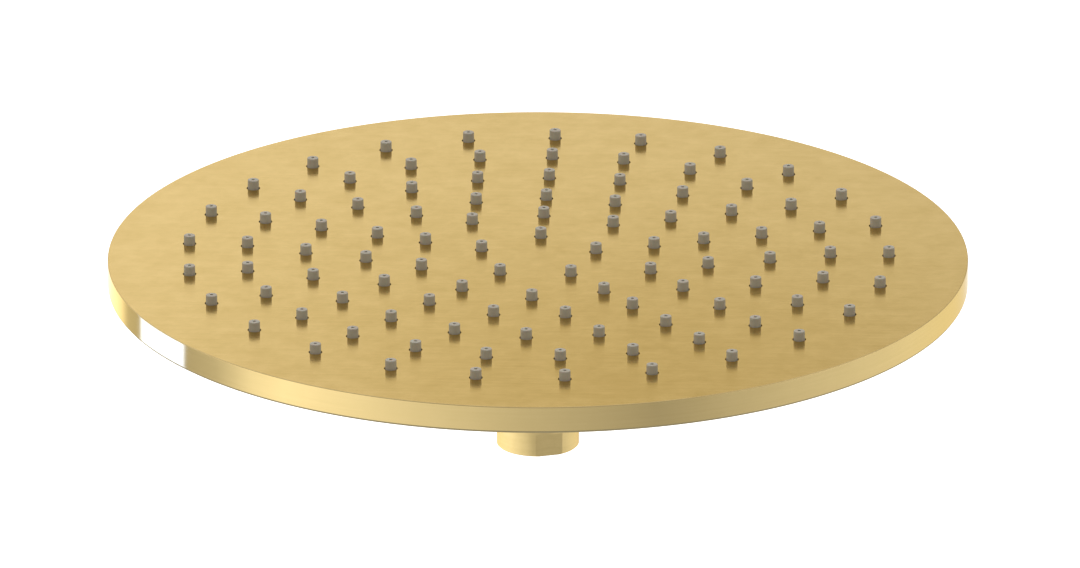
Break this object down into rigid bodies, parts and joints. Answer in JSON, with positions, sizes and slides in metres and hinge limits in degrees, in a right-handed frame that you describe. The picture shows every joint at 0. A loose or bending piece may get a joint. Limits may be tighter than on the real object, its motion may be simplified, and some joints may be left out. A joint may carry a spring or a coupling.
{
  "type": "rain shower head",
  "caption": "Slim round rain shower head in brushed brass, with silicone nozzles on its face and a swivel ball joint that ends in a threaded inlet with wrench flats.",
  "frame": {"origin": "centre of the inlet collar's end, on the thread's axis", "axes": "+Z is the way the water leaves, from the inlet to the spray face; the nozzle rings each have a nozzle on the +Y side"},
  "size_m": [0.25, 0.25, 0.0602],
  "materials": {
    "brushed_face": "straight brushed, satin",
    "turned_brass": "brushed round its axis, satin",
    "grey_silicone": "matt",
    "black_rubber": "matt",
    "white_plastic": "moulded, satin",
    "dark_plastic": "moulded, satin",
    "stainless_steel": "perforated sheet, bright"
  },
  "bodies": {
    "inlet": {"ball_stem": "turned_brass", "inlet_washer": "black_rubber", "filter_screen": "stainless_steel", "flow_regulator": "white_plastic", "regulator_ring": "black_rubber"},
    "liner": {"friction_liner": "white_plastic"},
    "seat": {"ball_seal": "black_rubber"},
    "head": {"face_plate": "brushed_face", "nozzle_mat": "grey_silicone", "spreader_plate": "dark_plastic", "cover_seal": "black_rubber", "back_cover": "brushed_face", "cover_screws": "turned_brass", "ball_socket": "turned_brass", "socket_seal": "black_rubber", "lock_nut": "turned_brass", "retaining_nut": "turned_brass"}
  },
  "joints": [
    {"name": "swivel_turn", "type": "hinge", "parent": "inlet", "child": "liner", "pos_m": [0, 0, 0.0365], "axis": [0, 0, 1], "continuous": true},
    {"name": "swivel_tilt", "type": "hinge", "parent": "liner", "child": "seat", "pos_m": [0, 0, 0.0365], "axis": [1, 0, 0], "range_deg": [-15, 15]},
    {"name": "swivel_spin", "type": "hinge", "parent": "seat", "child": "head", "pos_m": [0, 0, 0.0365], "axis": [0, 0, 1], "continuous": true}
  ]
}
